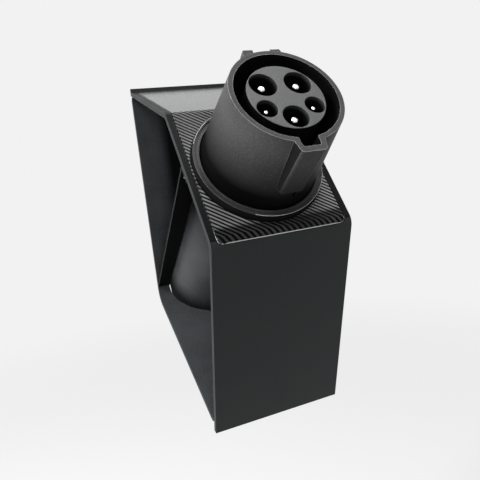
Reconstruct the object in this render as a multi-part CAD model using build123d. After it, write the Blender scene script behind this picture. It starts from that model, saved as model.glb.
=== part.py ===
from build123d import *
from math import cos, radians, sin, tan
import os

# Folded housing, seen from the side: Y runs back to the wall, Z runs up,
# and the origin is the middle of the four wall holes on the wall plane
wall_height = 128.0
holes_above_corner = 78.0
ledge_length = 73.0
ledge_drop = 15.0
slope_length = 73.0
slope_drop = 52.0
front_lean = 15.0
bottom_drop = 27.0
tip_overhang = 3.0

# Front cover with its recess for the face panel
cover_sheet = 2.4
ledge_fold_radius = 5.0
slope_fold_radius = 6.5
lip_height = 1.5
lip_thickness = 1.6
panel_thickness = 1.2
panel_border = 2.8
panel_gap = 0.45
panel_from_back = 3.4
panel_end_turn = 31.0
panel_corner_radius = 1.6
panel_foot_corner_radius = 2.6

# Rear bracket
bracket_sheet = 2.0
wall_fold_radius = 13.0
flange_fold_radius = 3.0
flange_length = 15.0
flange_inset = 3.0
wall_hole_radius = 2.6
wall_hole_across = 16.0
wall_hole_up = 44.0
tube_hole_clearance = 0.35

# Socket axis: square to the slope, this far up from the fold at its foot
socket_up = 37.5

# Collar ring on the slope, round the barrel's foot, and the housing's width round it
collar_height = 3.9
collar_wall = 3.0
collar_gap = 0.43
collar_seat_height = 0.9
collar_seat_width = 3.55
collar_from_side = 3.85
collar_spigot_wall = 1.2
collar_spigot_clearance = 0.2
collar_groove_width = 1.3
collar_groove_depth = 0.7
gasket_thickness = 0.8
gasket_width = 2.2
gasket_margin = 0.3

# Holder tube under the slope, with four ears
tube_top_step = 0.2
tube_flare = 2.7
tube_taper_length = 110.0
tube_past_taper = 30.0
tube_wall = 2.0
tube_wall_gap = 0.3
tube_foot_out = 2.5
ear_thickness = 2.5
ear_reach = 2.6
ear_screw_radius = 1.0
ear_head_radius = 1.9
ear_head_height = 1.4
ear_screw_bite = 3.6
ear_arm_sink = 2.0
liner_depth = 60.0
liner_length = 12.0
liner_gap = 0.15

# Side braces between the slope and the foot of the back
brace_sheet = 1.3
brace_fold_radius = 2.0
brace_below_fold = 29.0
brace_above_corner = 9.8
brace_tab_length = 9.0
brace_past_wall = 2.6
brace_tube_gap = 0.35

# Welded studs, their holes and their nuts
stud_radius = 1.25
stud_hole_clearance = 0.5
stud_past_nut = 1.0
nut_across_flats = 5.0
nut_height = 2.0
flange_stud_from_side = 13.0
flange_stud_from_end = 5.5
tab_stud_from_edge = 3.3
tab_stud_from_end = 4.2

# Adapter barrel: its bore is the standard size that the socket and the housing follow
barrel_bore = 22.25
barrel_rim = 2.09
barrel_taper = 3.38
barrel_mouth = 45.0
barrel_floor = 3.3
key_out = 6.65
key_foot = 18.0
key_half_width_in = 7.0
key_half_width_out = 5.5
key_slot_half_width_in = 4.5
key_slot_half_width_out = 4.0
key_wall = 2.6
key_corner_radius = 1.8
key_slot_corner_radius = 0.8
key_slot_foot = 22.0
drain_width = 1.8
drain_length = 2.8
drain_depth = 2.0
drain_across = 4.0
drain_height = 12.6
rib_near = 4.1
rib_far = 8.6
rib_out = 6.25
rib_low = 26.0
rib_high = 42.0
rib_slant = 1.6
catch_step = 1.9
catch_low = 33.0
catch_high = 37.0

# Core of the barrel, with a recess round each pin, and its base, which the pins stand on
core_radius = 16.75
core_below_mouth = 1.2
core_shoulder = 3.15
core_spigot_length = 10.0
core_spigot_clearance = 0.3
recess_floor = 18.0
tip_below_face = 1.8
core_seal_width = 1.2
core_seal_depth = 0.9
seal_slack = 0.1
core_nut_wall = 3.6
core_nut_height = 3.0
core_nut_notch_width = 3.0
core_nut_notch_depth = 1.0

# Pins: across, up the slope, recess radius, pin radius, sleeve radius
line_across, line_up = 7.85, 6.8
pilot_across, pilot_down = 10.65, 5.6
earth_down = 10.6
line_recess, pilot_recess, earth_recess = 6.0, 4.4, 5.6
line_pin, pilot_pin, earth_pin = 1.8, 1.0, 1.7
line_sleeve, pilot_sleeve, earth_sleeve = 4.6, 2.2, 3.2
pin_tail = 6.0
pin_tip_round_share = 0.6
press_clearance = 0.05
pin_collar_extra = 0.8
pin_collar_height = 1.5

# Rear housing of the adapter, down to its plug
body_flange_gap = 0.6
body_flange_clearance = 0.2
body_shoulder = 3.0
body_wall = 2.5
body_length = 52.0
body_floor = 4.0
plug_step = 3.0
plug_wall = 2.3
plug_length = 28.0
plug_nose_chamfer = 1.5
insulator_inset = 1.0
sleeve_length = 22.0
sleeve_wall = 1.1
sleeve_bore_depth = 16.0
body_seal_width = 1.3
body_seal_depth = 1.2
body_seal_margin = 0.7
floor_screw_radius = 1.0
floor_head_radius = 1.8
floor_head_height = 1.3
floor_screw_from_core = 3.15
floor_screw_bite = 3.2
rod_extra = 0.35

# Screws: hole clearance, what stays free past the tip, and the six-sided drive
screw_clearance = 0.05
screw_tip_gap = 0.3
drive_radius = 0.75
drive_depth = 0.8
stud_chamfer = 0.3

# Cuts run this far past a face, and beyond past every piece
cut_past = 0.3
cut_over = 1.0
beyond = 400.0
tiny = 0.01

# Radii from the bore outward, and the housing's width from them
barrel_mouth_radius = barrel_bore + barrel_rim
barrel_base_radius = barrel_mouth_radius + barrel_taper
key_outer_radius = barrel_bore + key_out
key_slot_reach = key_outer_radius - key_wall
rib_reach = barrel_bore + rib_out
catch_reach = rib_reach - catch_step
collar_radius = barrel_base_radius + collar_gap + collar_wall
collar_bore = collar_radius - collar_wall - collar_seat_width
tube_top_radius = collar_bore + tube_top_step
tube_foot_radius = tube_top_radius + tube_flare
width = 2 * (collar_radius + collar_from_side)
flange_stud_across = width - 2 * flange_stud_from_side

# Radii from the core and the collar inward
core_spigot_radius = core_radius - core_shoulder
core_nut_radius = core_spigot_radius + core_nut_wall
floor_screw_circle = core_radius + floor_screw_from_core
body_flange_radius = collar_bore - body_flange_gap
body_radius = body_flange_radius - body_shoulder
plug_radius = body_radius - plug_step


# Folds and lines of the side view
def heading(drop):
    # One millimetre towards the front, falling by this angle
    return Vector(-cos(radians(drop)), -sin(radians(drop)))


def left_of(direction):
    return Vector(-direction.Y, direction.X)


def crossing(point_a, along_a, point_b, along_b):
    # Where two lines of the side view meet
    turn = along_a.X * along_b.Y - along_a.Y * along_b.X
    gap = point_b - point_a
    reach = (gap.X * along_b.Y - gap.Y * along_b.X) / turn
    return point_a + along_a * reach


def beside(points, distance):
    # The same folded line, moved to its left by this distance
    runs = [(b - a).normalized() for a, b in zip(points, points[1:])]
    moved = [points[0] + left_of(runs[0]) * distance]
    for point, before, after in zip(points[1:], runs, runs[1:]):
        start = point + left_of(before) * distance
        other = point + left_of(after) * distance
        moved.append(crossing(start, before, other, after))
    moved.append(points[-1] + left_of(runs[-1]) * distance)
    return moved


def folded(points, radii, thickness, across):
    # A sheet whose outer face follows the points, with its thickness to their left
    inner = beside(points, thickness)
    outer_line = FilletPolyline(*points, radius=radii)
    inner_line = FilletPolyline(*inner, radius=[radius - thickness for radius in radii])
    ends = [Line(points[0], inner[0]), Line(points[-1], inner[-1])]
    section = make_face(outer_line.edges() + inner_line.edges() + ends)
    return extrude(Plane.YZ * section, amount=across / 2, both=True)


def end_corners(sheet, end, way):
    # The two edges through the sheet's thickness at this end of its outline
    along = Vector(0, way.X, way.Y)
    flat_end = Vector(0, end.X, end.Y)
    found = []
    for edge in sheet.edges():
        off_end = max(abs((vertex.center() - flat_end).dot(along)) for vertex in edge.vertices())
        if off_end < tiny and abs(edge.tangent_at(0).X) < tiny:
            found.append(edge)
    return found


ledge_way = heading(ledge_drop)
slope_way = heading(slope_drop)
front_way = heading(90 + front_lean)
bottom_way = heading(bottom_drop)

wall_corner = Vector(0, -holes_above_corner)
ledge_back = wall_corner + Vector(0, wall_height)
ledge_fold = ledge_back + ledge_way * ledge_length
slope_fold = ledge_fold + slope_way * slope_length
front_foot = crossing(slope_fold, front_way, wall_corner, bottom_way)
front_tip = front_foot + front_way * tip_overhang
socket_point = slope_fold - slope_way * socket_up

# Inner faces of the cover, which the bracket and the braces lie against
under_ledge = ledge_back + left_of(ledge_way) * cover_sheet
under_slope = ledge_fold + left_of(slope_way) * cover_sheet
behind_front = slope_fold + left_of(front_way) * cover_sheet
inside_wall = Vector(-bracket_sheet, 0)
up_wall = Vector(0, 1)


# The socket's own frame: Z out of the slope, Y up the slope
socket_plane = Plane(
    origin=(0, socket_point.X, socket_point.Y),
    x_dir=(1, 0, 0),
    z_dir=(0, -sin(radians(slope_drop)), cos(radians(slope_drop))),
)
slope_under = -cover_sheet
recess_level = -panel_thickness


def on_socket(shape):
    return socket_plane.location * shape


def post(radius, low, high):
    return Pos(0, 0, low) * Cylinder(radius, high - low, align=(Align.CENTER, Align.CENTER, Align.MIN))


def pipe(outer, inner, low, high):
    return post(outer, low, high) - post(inner, low, high)


def spun(points):
    # A profile of radius and height, turned about the socket's axis
    section = make_face(Polyline(*points, close=True))
    return revolve(Plane.XZ * section, axis=Axis.Z)


def side_block(points, across):
    # A solid from a flat outline in the side view
    section = make_face(Polyline(*points, close=True))
    return extrude(Plane.YZ * section, amount=across / 2, both=True)


def at_point(point, across, drop_axis):
    # A frame on the side view's point, with its Z along the given direction
    return Plane(origin=(across, point.X, point.Y), x_dir=(1, 0, 0), z_dir=(0, drop_axis.X, drop_axis.Y))


# Both rings of four screws stand between the braces and the key
ear_spots = [45, 135, 225, 315]


def around(circle):
    return [(circle * cos(radians(spot)), circle * sin(radians(spot))) for spot in ear_spots]


# Panel and cover
cover_line = [ledge_back - ledge_way * lip_thickness, ledge_fold, slope_fold, front_tip]
fold_radii = [ledge_fold_radius, slope_fold_radius]
panel_start = ledge_back + ledge_way * panel_from_back

# The panel ends part-way round the slope's fold
slope_fold_trim = slope_fold_radius * tan(radians(90 + front_lean - slope_drop) / 2)
slope_fold_center = slope_fold - slope_way * slope_fold_trim + left_of(slope_way) * slope_fold_radius
panel_end_way = heading(slope_drop + panel_end_turn)
panel_end = slope_fold_center - left_of(panel_end_way) * slope_fold_radius


def panel_sheet(grow, raise_by, thickness, across):
    # The folded panel, grown at both ends and raised off the cover
    line = [panel_start - ledge_way * grow, ledge_fold, slope_fold, front_foot]
    raised = beside(line, -raise_by)
    radii = [radius + raise_by for radius in fold_radii]
    end = panel_end + panel_end_way * grow
    past_end = at_point(end, 0, panel_end_way).location * post(beyond, 0, beyond)
    sheet = folded(raised, radii, thickness + raise_by, across) - past_end
    sheet = fillet(end_corners(sheet, raised[0], ledge_way), panel_corner_radius)
    return fillet(end_corners(sheet, end, panel_end_way), panel_foot_corner_radius)


def make_face_panel():
    sheet = panel_sheet(0, 0, panel_thickness, width - 2 * (panel_border + panel_gap))
    return sheet - on_socket(post(collar_radius + panel_gap, slope_under, collar_height))


def make_front_cover():
    sheet = folded(cover_line, fold_radii, cover_sheet, width)
    behind_wall = Pos(0, beyond / 2, 0) * Box(2 * width, beyond, beyond)
    lip_top = ledge_back.Y + lip_height
    lip_foot = under_ledge.Y
    lip = Box(width, lip_thickness, lip_top - lip_foot)
    lip = Pos(0, -lip_thickness / 2, (lip_top + lip_foot) / 2) * lip
    cover = sheet - behind_wall + lip
    cover -= panel_sheet(panel_gap, cut_past, panel_thickness, width - 2 * panel_border)
    opening = collar_bore + collar_spigot_wall + collar_spigot_clearance
    cover -= on_socket(post(opening, slope_under - cut_over, cut_over))
    screw_hole = post(ear_screw_radius + screw_clearance, slope_under - cut_over, cut_over)
    for across, up in ear_places:
        cover -= on_socket(Pos(across, up, 0) * screw_hole)
    return cover


# Bracket
bracket_top = crossing(under_ledge, ledge_way, Vector(0, 0), up_wall)
bracket_front = crossing(behind_front, front_way, wall_corner, bottom_way)
top_flange_end = bracket_top + ledge_way * flange_length
front_flange_end = bracket_front - front_way * flange_length


def tube_outer(depth):
    # Outer radius of the holder tube this deep below the slope's inner face
    return tube_top_radius + (tube_foot_radius - tube_top_radius) * depth / tube_taper_length


def tube_cone(grow, depth_from, depth_to):
    low, high = slope_under - depth_to, slope_under - depth_from
    low_radius = tube_outer(depth_to) + grow
    high_radius = tube_outer(depth_from) + grow
    return spun([(0, low), (low_radius, low), (high_radius, high), (0, high)])


def make_rear_bracket():
    line = [front_flange_end, bracket_front, wall_corner, bracket_top, top_flange_end]
    radii = [flange_fold_radius, wall_fold_radius, flange_fold_radius]
    bracket = folded(line, radii, bracket_sheet, width)
    for across in [-wall_hole_across / 2, wall_hole_across / 2]:
        for up in [-wall_hole_up / 2, wall_hole_up / 2]:
            bracket -= Pos(across, 0, up) * Rot(90, 0, 0) * Cylinder(wall_hole_radius, 4 * bracket_sheet)
    # Round hole for the tube, through the fold and the bottom plate only
    hole_top = wall_corner.Y + wall_fold_radius * tan(radians(90 - bottom_drop) / 2)
    below_wall = Pos(0, 0, hole_top - beyond / 2) * Box(2 * width, beyond, beyond)
    round_hole = on_socket(tube_cone(tube_hole_clearance, 0, tube_taper_length + tube_past_taper))
    bracket -= round_hole & below_wall
    hole = Cylinder(stud_radius + stud_hole_clearance / 2, 4 * bracket_sheet)
    notch = Box(2 * flange_inset, 2 * (flange_length - flange_fold_radius), 4 * bracket_sheet)
    for side in [-1, 1]:
        for place, inward in flange_studs:
            bracket -= at_point(place, side * flange_stud_across / 2, inward).location * hole
        for end, inward in [(top_flange_end, left_of(ledge_way)), (front_flange_end, left_of(front_way))]:
            bracket -= at_point(end, side * width / 2, inward).location * notch
    return bracket


# Braces, left and right of the tube, cut off where they meet the wall plate
brace_top = under_slope + slope_way * brace_below_fold
brace_foot = wall_corner + inside_wall + up_wall * brace_above_corner
brace_tab_end = brace_top + slope_way * brace_tab_length
brace_way = (brace_top - brace_foot).normalized()
brace_line = [brace_foot - brace_way * brace_past_wall, brace_top, brace_tab_end]
brace_stud_across = width / 2 - tab_stud_from_edge

# Each stud stands on a face of the side view and points inward
flange_studs = [
    (under_ledge + ledge_way * (flange_length - flange_stud_from_end), left_of(ledge_way)),
    (front_flange_end + front_way * flange_stud_from_end, left_of(front_way)),
]
tab_stud = (brace_tab_end - slope_way * tab_stud_from_end, left_of(slope_way))


def make_brace(side):
    sheet = folded(brace_line, [brace_fold_radius], brace_sheet, width)
    kept_across = width / 2 - tube_top_radius - brace_tube_gap
    kept = Pos(side * (width - kept_across) / 2, -bracket_sheet - beyond / 2, 0)
    sheet &= kept * Box(kept_across, beyond, beyond)
    sheet -= on_socket(tube_cone(brace_tube_gap, 0, tube_taper_length + tube_past_taper))
    place, inward = tab_stud
    hole = Cylinder(stud_radius + stud_hole_clearance / 2, 4 * brace_sheet)
    return sheet - at_point(place, side * brace_stud_across, inward).location * hole


def make_stud(place, inward, across, held_sheet):
    top = held_sheet + nut_height + stud_past_nut
    stud = post(stud_radius, 0, top)
    stud = chamfer(stud.faces().sort_by(Axis.Z)[-1].edges(), stud_chamfer)
    return at_point(place, across, inward).location * stud


def make_nut(place, inward, across, held_sheet):
    nut = extrude(RegularPolygon(nut_across_flats / 2, 6, major_radius=False), nut_height)
    nut -= post(stud_radius, -cut_over, nut_height + cut_over)
    return at_point(place, across, inward).location * Pos(0, 0, held_sheet) * nut


# Collar ring, gasket and holder tube
ear_circle = collar_radius - collar_wall / 2
ear_places = around(ear_circle)


def make_collar_ring():
    inside = collar_radius - collar_wall
    groove_in = ear_circle - collar_groove_width / 2
    groove_out = ear_circle + collar_groove_width / 2
    groove_low = collar_height - collar_groove_depth
    profile = [
        (collar_bore, slope_under),
        (collar_bore + collar_spigot_wall, slope_under),
        (collar_bore + collar_spigot_wall, recess_level),
        (collar_radius, recess_level),
        (collar_radius, collar_height),
        (groove_out, collar_height),
        (groove_out, groove_low),
        (groove_in, groove_low),
        (groove_in, collar_height),
        (inside, collar_height),
        (inside, collar_seat_height),
        (collar_bore, collar_seat_height),
    ]
    ring = spun(profile)
    screw_hole = post(ear_screw_radius, recess_level - cut_over, recess_level + ear_screw_bite)
    for across, up in ear_places:
        ring -= Pos(across, up, 0) * screw_hole
    return on_socket(ring)


def make_collar_gasket():
    outer = collar_radius - collar_wall - gasket_margin
    low = collar_seat_height
    return on_socket(pipe(outer, outer - gasket_width, low, low + gasket_thickness))


def make_holder_tube():
    length = tube_taper_length + tube_past_taper
    tube = tube_cone(0, 0, length) - tube_cone(-tube_wall, 0, length)
    low = slope_under - ear_thickness
    arm_start = tube_top_radius - ear_arm_sink
    arm = Box(ear_circle - arm_start, 2 * ear_reach, ear_thickness)
    arm = Pos((arm_start + ear_circle) / 2, 0, (low + slope_under) / 2) * arm
    ear = arm + Pos(ear_circle, 0, 0) * post(ear_reach, low, slope_under)
    screw_hole = post(ear_screw_radius + screw_clearance, low - cut_over, slope_under + cut_over)
    ear -= Pos(ear_circle, 0, 0) * screw_hole
    ear -= tube_cone(-tube_wall / 2, 0, tube_taper_length)
    for spot in ear_spots:
        tube += Rot(0, 0, spot) * ear
    tube = on_socket(tube)
    wall_face = -bracket_sheet - tube_wall_gap
    tube -= Pos(0, wall_face + beyond / 2, 0) * Box(4 * width, beyond, 2 * beyond)
    # The foot stops just outside the bottom plate, parallel to it
    foot = wall_corner - left_of(bottom_way * -1) * tube_foot_out
    far = foot + bottom_way * beyond
    back = foot - bottom_way * beyond
    down = Vector(0, -beyond)
    return tube - side_block([far, back, back + down, far + down], 4 * width)


def make_tube_screw(across, up):
    low = slope_under - ear_thickness
    screw = post(ear_screw_radius, low, recess_level + ear_screw_bite - screw_tip_gap)
    head = post(ear_head_radius, low - ear_head_height, low)
    head -= Pos(0, 0, low - ear_head_height) * extrude(RegularPolygon(drive_radius, 6), drive_depth)
    return on_socket(Pos(across, up, 0) * (screw + head))


def make_tube_liner():
    low, high = slope_under - liner_depth - liner_length, slope_under - liner_depth
    hole = plug_radius + liner_gap
    outer = -tube_wall - liner_gap
    profile = [
        (hole, low),
        (tube_outer(liner_depth + liner_length) + outer, low),
        (tube_outer(liner_depth) + outer, high),
        (hole, high),
    ]
    return on_socket(spun(profile))


# Adapter barrel, which stands in the collar
barrel_foot = collar_seat_height + gasket_thickness
barrel_floor_top = barrel_foot + barrel_floor
core_face = barrel_mouth - core_below_mouth
tip_level = core_face - tip_below_face
floor_screw_places = around(floor_screw_circle)


def wedge(half_in, half_out, radius_in, radius_out, corner, low, high):
    # A block on the lower side of the barrel that narrows outward to two rounded corners
    outline = Polyline(
        (-half_in, -radius_in),
        (half_in, -radius_in),
        (half_out, -radius_out),
        (-half_out, -radius_out),
        close=True,
    )
    section = make_face(outline)
    section = fillet(section.vertices().sort_by(Axis.Y)[:2], corner)
    return Pos(0, 0, low) * extrude(section, high - low)


def latch_rib(side):
    outline = Polyline(
        (side * rib_near, barrel_bore),
        (side * (rib_far + rib_slant), barrel_bore),
        (side * rib_far, rib_reach),
        (side * rib_near, rib_reach),
        close=True,
    )
    return Pos(0, 0, rib_low) * extrude(make_face(outline), rib_high - rib_low)


def make_adapter_shell():
    cone = [
        (0, barrel_foot),
        (barrel_base_radius, barrel_foot),
        (barrel_mouth_radius, barrel_mouth),
        (0, barrel_mouth),
    ]
    over_mouth = barrel_mouth + cut_over
    under_foot = barrel_foot - cut_over
    over_floor = barrel_floor_top + cut_over
    key = (key_half_width_in, key_half_width_out, barrel_bore, key_outer_radius, key_corner_radius)
    slot_half_widths = (key_slot_half_width_in, key_slot_half_width_out)
    slot = (*slot_half_widths, core_radius + cut_over, key_slot_reach, key_slot_corner_radius)
    shell = spun(cone) + wedge(*key, key_foot, barrel_mouth)
    shell += latch_rib(-1) + latch_rib(1)
    catch = Box(2 * rib_near, catch_reach - barrel_bore, catch_high - catch_low)
    shell += Pos(0, (catch_reach + barrel_bore) / 2, (catch_high + catch_low) / 2) * catch
    shell -= post(barrel_bore, barrel_floor_top, over_mouth)
    shell -= wedge(*slot, key_slot_foot, over_mouth)
    drain_middle = -barrel_base_radius + (drain_depth - cut_over) / 2
    drain = Box(drain_width, drain_depth + cut_over, drain_length)
    shell -= Pos(drain_across, drain_middle, drain_height) * drain
    shell -= post(core_spigot_radius + core_spigot_clearance, under_foot, over_floor)
    screw_hole = post(floor_screw_radius + screw_clearance, under_foot, over_floor)
    for across, up in floor_screw_places:
        shell -= Pos(across, up, 0) * screw_hole
    return on_socket(shell)


# Name, across, up the slope, recess, pin and sleeve of each contact
contacts = [
    ("line_left", -line_across, line_up, line_recess, line_pin, line_sleeve),
    ("line_right", line_across, line_up, line_recess, line_pin, line_sleeve),
    ("earth", 0, -earth_down, earth_recess, earth_pin, earth_sleeve),
    ("pilot", -pilot_across, -pilot_down, pilot_recess, pilot_pin, pilot_sleeve),
    ("proximity", pilot_across, -pilot_down, pilot_recess, pilot_pin, pilot_sleeve),
]
spigot_end = barrel_floor_top - core_spigot_length


def make_inlet_core():
    core = post(core_radius, recess_floor, core_face)
    for name, across, up, recess, pin, sleeve in contacts:
        core -= Pos(across, up, 0) * post(recess, recess_floor - cut_over, core_face + cut_over)
    return on_socket(core)


def make_core_base():
    base = post(core_radius, barrel_floor_top, recess_floor)
    base += post(core_spigot_radius, spigot_end, barrel_floor_top)
    seal_out = core_spigot_radius + core_spigot_clearance + core_seal_width
    base -= pipe(seal_out, core_spigot_radius, barrel_floor_top, barrel_floor_top + core_seal_depth)
    for name, across, up, recess, pin, sleeve in contacts:
        pin_bore = post(pin + press_clearance, spigot_end - cut_over, recess_floor + cut_over)
        base -= Pos(across, up, 0) * pin_bore
    return on_socket(base)


def make_core_seal():
    inner = core_spigot_radius + core_spigot_clearance
    outer = inner + core_seal_width - seal_slack
    return on_socket(pipe(outer, inner, barrel_floor_top, barrel_floor_top + core_seal_depth))


def make_core_nut():
    nut = pipe(core_nut_radius, core_spigot_radius, barrel_foot - core_nut_height, barrel_foot)
    notch = Box(2 * core_nut_notch_depth, core_nut_notch_width, core_nut_height)
    notch = Pos(core_nut_radius, 0, barrel_foot - core_nut_height / 2) * notch
    for spot in range(0, 360, 60):
        nut -= Rot(0, 0, spot) * notch
    return on_socket(nut)


def make_pin(across, up, pin):
    low = spigot_end - pin_tail
    shank = post(pin, low, tip_level)
    shank = fillet(shank.faces().sort_by(Axis.Z)[-1].edges(), pin * pin_tip_round_share)
    collar = post(pin + pin_collar_extra, recess_floor, recess_floor + pin_collar_height)
    return on_socket(Pos(across, up, 0) * (shank + collar))


# Rear housing, plug and the conductors between
flange_low = slope_under + body_flange_clearance
body_foot = -body_length
plug_foot = body_foot - plug_length
sleeve_top = body_foot - insulator_inset
rod_high = spigot_end - pin_tail


def make_adapter_body():
    bore = body_radius - body_wall
    body = post(body_flange_radius, flange_low, barrel_foot) + post(body_radius, body_foot, flange_low)
    nose = post(plug_radius, plug_foot, body_foot)
    body += chamfer(nose.faces().sort_by(Axis.Z)[0].edges(), plug_nose_chamfer)
    floor_top = body_foot + body_floor
    body -= post(bore, floor_top, barrel_foot + cut_over)
    body -= post(plug_radius - plug_wall, plug_foot - cut_over, body_foot)
    for name, across, up, recess, pin, sleeve in contacts:
        body -= Pos(across, up, 0) * post(pin + rod_extra, body_foot - cut_over, floor_top + cut_over)
    seal_out = body_flange_radius - body_seal_margin
    body -= pipe(seal_out, seal_out - body_seal_width, barrel_foot - body_seal_depth, barrel_foot)
    screw_hole = post(floor_screw_radius, barrel_foot - floor_screw_bite, barrel_foot + cut_over)
    for across, up in floor_screw_places:
        body -= Pos(across, up, 0) * screw_hole
    return on_socket(body)


def make_body_seal():
    outer = body_flange_radius - body_seal_margin - seal_slack / 2
    inner = outer - body_seal_width + seal_slack
    return on_socket(pipe(outer, inner, barrel_foot - body_seal_depth, barrel_foot))


def make_floor_screw(across, up):
    head_top = barrel_floor_top + floor_head_height
    screw = post(floor_screw_radius, barrel_foot - floor_screw_bite + screw_tip_gap, barrel_floor_top)
    head = post(floor_head_radius, barrel_floor_top, head_top)
    head -= Pos(0, 0, head_top - drive_depth) * extrude(RegularPolygon(drive_radius, 6), drive_depth)
    return on_socket(Pos(across, up, 0) * (screw + head))


def make_plug_insulator():
    radius = plug_radius - plug_wall - press_clearance
    block = post(radius, plug_foot + insulator_inset, body_foot)
    for name, across, up, recess, pin, sleeve in contacts:
        block -= Pos(across, up, 0) * post(sleeve + press_clearance, plug_foot, sleeve_top)
        block -= Pos(across, up, 0) * post(pin + rod_extra, sleeve_top - cut_over, body_foot + cut_over)
    return on_socket(block)


def make_sleeve(across, up, sleeve):
    low = sleeve_top - sleeve_length
    tube = post(sleeve, low, sleeve_top)
    tube -= post(sleeve - sleeve_wall, low - cut_over, low + sleeve_bore_depth)
    return on_socket(Pos(across, up, 0) * tube)


def make_rod(across, up, pin):
    # The conductor from the sleeve up to the tail of the pin
    return on_socket(Pos(across, up, 0) * post(pin + rod_extra - press_clearance, sleeve_top, rod_high))


nodes = {
    "front_cover": make_front_cover(),
    "rear_bracket": make_rear_bracket(),
    "face_panel": make_face_panel(),
    "brace_left": make_brace(-1),
    "brace_right": make_brace(1),
    "collar_ring": make_collar_ring(),
    "collar_gasket": make_collar_gasket(),
    "holder_tube": make_holder_tube(),
    "tube_liner": make_tube_liner(),
    "adapter_shell": make_adapter_shell(),
    "adapter_body": make_adapter_body(),
    "inlet_core": make_inlet_core(),
    "core_base": make_core_base(),
    "core_seal": make_core_seal(),
    "core_nut": make_core_nut(),
    "body_seal": make_body_seal(),
    "plug_insulator": make_plug_insulator(),
}
for number, (across, up) in enumerate(ear_places, 1):
    nodes[f"tube_screw_{number}"] = make_tube_screw(across, up)
for number, (across, up) in enumerate(floor_screw_places, 1):
    nodes[f"floor_screw_{number}"] = make_floor_screw(across, up)
for name, across, up, recess, pin, sleeve in contacts:
    nodes[f"{name}_pin"] = make_pin(across, up, pin)
    nodes[f"{name}_rod"] = make_rod(across, up, pin)
    nodes[f"{name}_sleeve"] = make_sleeve(across, up, sleeve)
for side, sign in [("left", -1), ("right", 1)]:
    for row, (place, inward) in zip(["ledge", "front"], flange_studs):
        across = sign * flange_stud_across / 2
        nodes[f"{row}_stud_{side}"] = make_stud(place, inward, across, bracket_sheet)
        nodes[f"{row}_nut_{side}"] = make_nut(place, inward, across, bracket_sheet)
    nodes[f"slope_stud_{side}"] = make_stud(*tab_stud, sign * brace_stud_across, brace_sheet)
    nodes[f"slope_nut_{side}"] = make_nut(*tab_stud, sign * brace_stud_across, brace_sheet)

os.makedirs("parts", exist_ok=True)
for name, shape in nodes.items():
    export_step(shape, f"parts/{name}.step")
print(len(nodes), "nodes written")
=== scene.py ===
import math

import bmesh
import bpy
from mathutils import Matrix, Vector


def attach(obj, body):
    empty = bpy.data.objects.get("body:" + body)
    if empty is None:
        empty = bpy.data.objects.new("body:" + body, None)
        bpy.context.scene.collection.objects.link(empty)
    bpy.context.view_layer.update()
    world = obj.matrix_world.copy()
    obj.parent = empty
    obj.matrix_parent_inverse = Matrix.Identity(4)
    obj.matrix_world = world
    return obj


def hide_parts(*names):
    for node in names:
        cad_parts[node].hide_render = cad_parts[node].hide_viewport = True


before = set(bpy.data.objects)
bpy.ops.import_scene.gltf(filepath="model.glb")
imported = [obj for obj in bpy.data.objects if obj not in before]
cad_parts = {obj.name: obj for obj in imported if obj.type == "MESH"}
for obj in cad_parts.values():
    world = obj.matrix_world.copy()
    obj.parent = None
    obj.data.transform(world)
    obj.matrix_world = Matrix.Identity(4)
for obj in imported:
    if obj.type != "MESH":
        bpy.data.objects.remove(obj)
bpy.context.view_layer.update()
mm = 0.001
nearly = 1e-5       # in mm, for places that should be the same
black = (0.0, 0.0, 0.0)
print("frame loaded,", len(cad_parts), "nodes")

# Camera, fitted to the photograph; lengths in metres, lens and sensor in mm
cameraLook = {
    "place": (-0.10086, -0.31184, 0.01405),
    "right": (0.9150, -0.3895, -0.1053),
    "up": (0.1689, 0.1328, 0.9767),
    "lens": 38.19,
    "sensor": 36.0,
    "nearest": 0.01,
}


def makeCamera():
    data = bpy.data.cameras.new("dockCamera")
    data.lens = cameraLook["lens"]
    data.sensor_width = cameraLook["sensor"]
    data.clip_start = cameraLook["nearest"]
    camera = bpy.data.objects.new("dockCamera", data)
    bpy.context.scene.collection.objects.link(camera)
    right = Vector(cameraLook["right"]).normalized()
    back = right.cross(Vector(cameraLook["up"])).normalized()
    turn = Matrix((right, back.cross(right), back)).transposed()
    camera.matrix_world = Matrix.Translation(cameraLook["place"]) @ turn.to_4x4()
    bpy.context.scene.camera = camera


makeCamera()
print("camera made")


# Small helpers for the node trees; a value is a number or another node's output
def calc(tree, operation, *values, clamp=False):
    node = tree.nodes.new("ShaderNodeMath")
    node.operation = operation
    node.use_clamp = clamp
    for entry, value in zip(node.inputs, values):
        if isinstance(value, (int, float)):
            entry.default_value = value
        else:
            tree.links.new(value, entry)
    return node.outputs[0]


def spread(tree, value, fromLow, fromHigh, low, high, smooth=False):
    node = tree.nodes.new("ShaderNodeMapRange")
    node.interpolation_type = "SMOOTHSTEP" if smooth else "LINEAR"
    node.inputs["From Min"].default_value = fromLow
    node.inputs["From Max"].default_value = fromHigh
    node.inputs["To Min"].default_value = low
    node.inputs["To Max"].default_value = high
    tree.links.new(value, node.inputs["Value"])
    return node.outputs["Result"]


def mixColors(tree, factor, first, second):
    mix = tree.nodes.new("ShaderNodeMix")
    mix.data_type = "RGBA"
    tree.links.new(factor, mix.inputs["Factor"])
    for color, entry in ((first, mix.inputs["A"]), (second, mix.inputs["B"])):
        if isinstance(color, tuple):
            entry.default_value = (*color, 1)
        else:
            tree.links.new(color, entry)
    return mix.outputs["Result"]


def mixShaders(tree, factor, first, second, out):
    mix = tree.nodes.new("ShaderNodeMixShader")
    tree.links.new(factor, mix.inputs["Fac"])
    tree.links.new(first.outputs[0], mix.inputs[1])
    tree.links.new(second.outputs[0], mix.inputs[2])
    tree.links.new(mix.outputs[0], out.inputs["Surface"])


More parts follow.
